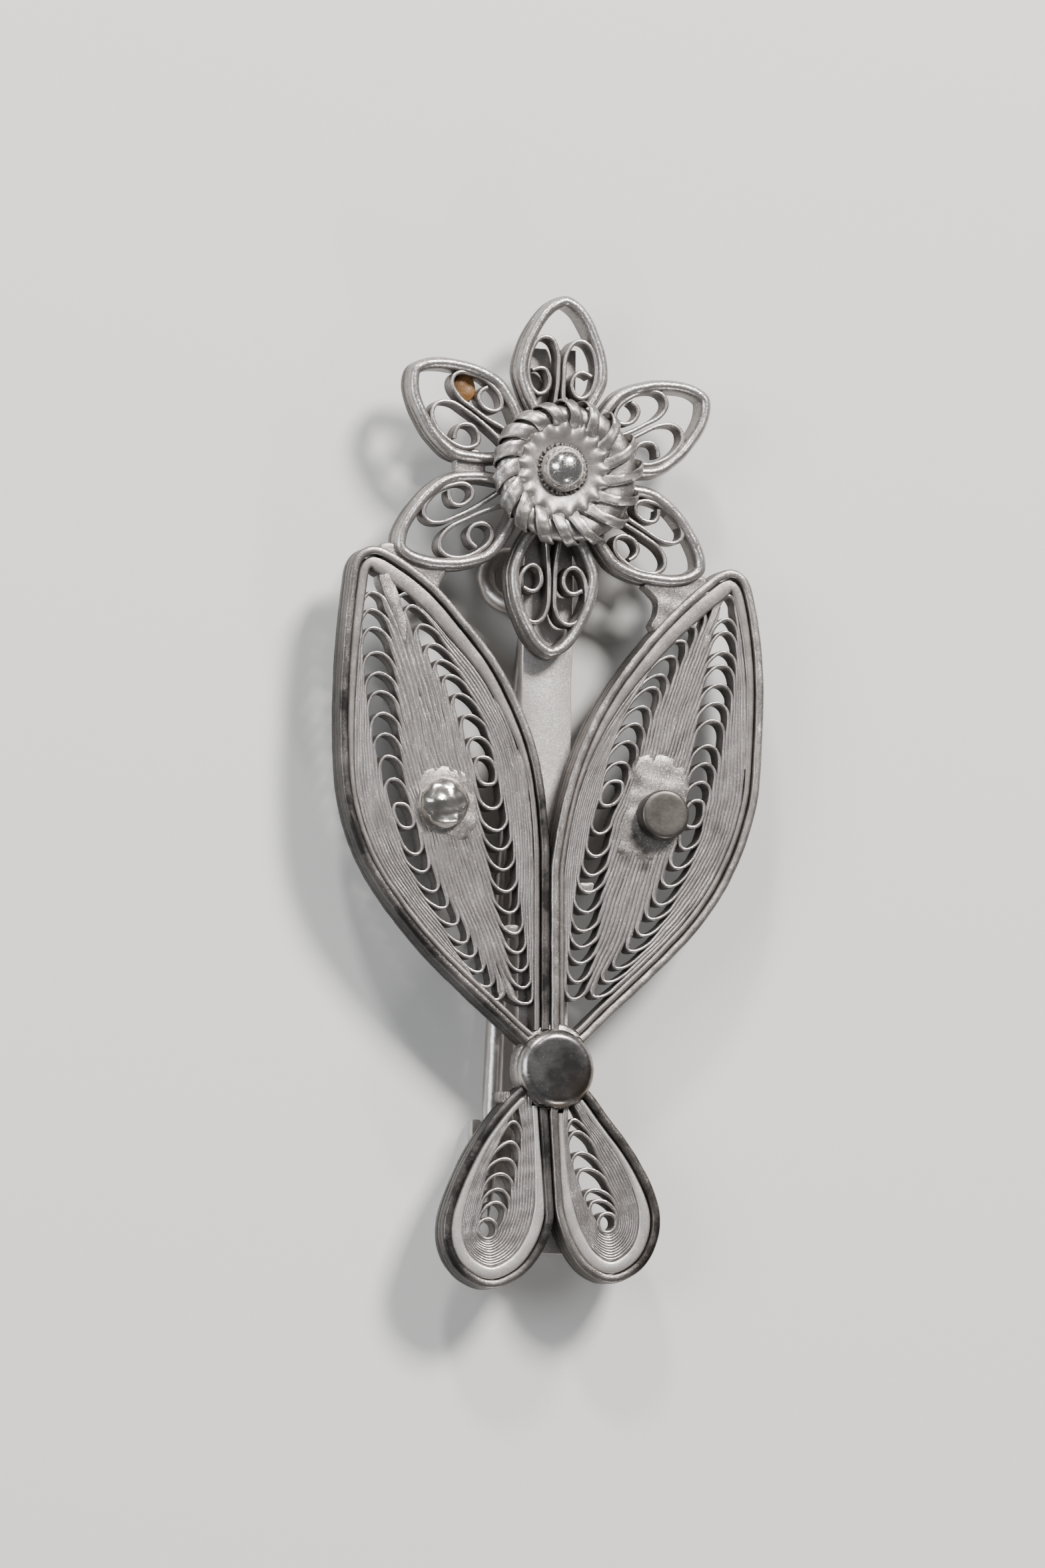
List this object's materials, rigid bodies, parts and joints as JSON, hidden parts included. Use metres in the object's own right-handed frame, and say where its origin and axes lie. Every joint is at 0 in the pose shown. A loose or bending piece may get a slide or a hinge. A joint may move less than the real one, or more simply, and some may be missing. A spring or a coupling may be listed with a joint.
{
  "type": "saree pin",
  "caption": "Silver filigree saree pin: a flower over paired scalloped leaves and drop-shaped lobes, on a flat strip with a sprung wire pin and hook catch behind.",
  "frame": {"origin": "centre of the footprint, on the surface that the pin lies on, under its back", "axes": "+X to the right as the decorated face is seen, +Y along the pin towards the flower, +Z out of the decorated face"},
  "size_m": [0.0225, 0.0501, 0.0065],
  "materials": {
    "frosted_silver": "pickled, frosted silver with bright burnished edges",
    "polished_silver": "polished silver",
    "burnished_silver": "burnished, scratched and slightly tarnished silver",
    "pin_wire": "smooth drawn silver wire and strip"
  },
  "bodies": {
    "root": {"petal_1": "frosted_silver", "petal_2": "frosted_silver", "petal_3": "frosted_silver", "petal_4": "frosted_silver", "petal_5": "frosted_silver", "petal_6": "frosted_silver", "rosette_ring": "frosted_silver", "rosette_dish": "frosted_silver", "centre_ball": "polished_silver", "backing_strip": "frosted_silver", "leaf_left": "frosted_silver", "leaf_right": "frosted_silver", "dome_stud": "polished_silver", "disc_stud": "burnished_silver", "knop": "burnished_silver", "lobe_left": "frosted_silver", "lobe_right": "frosted_silver", "spring_pin": "pin_wire", "catch": "pin_wire"}
  },
  "joints": []
}
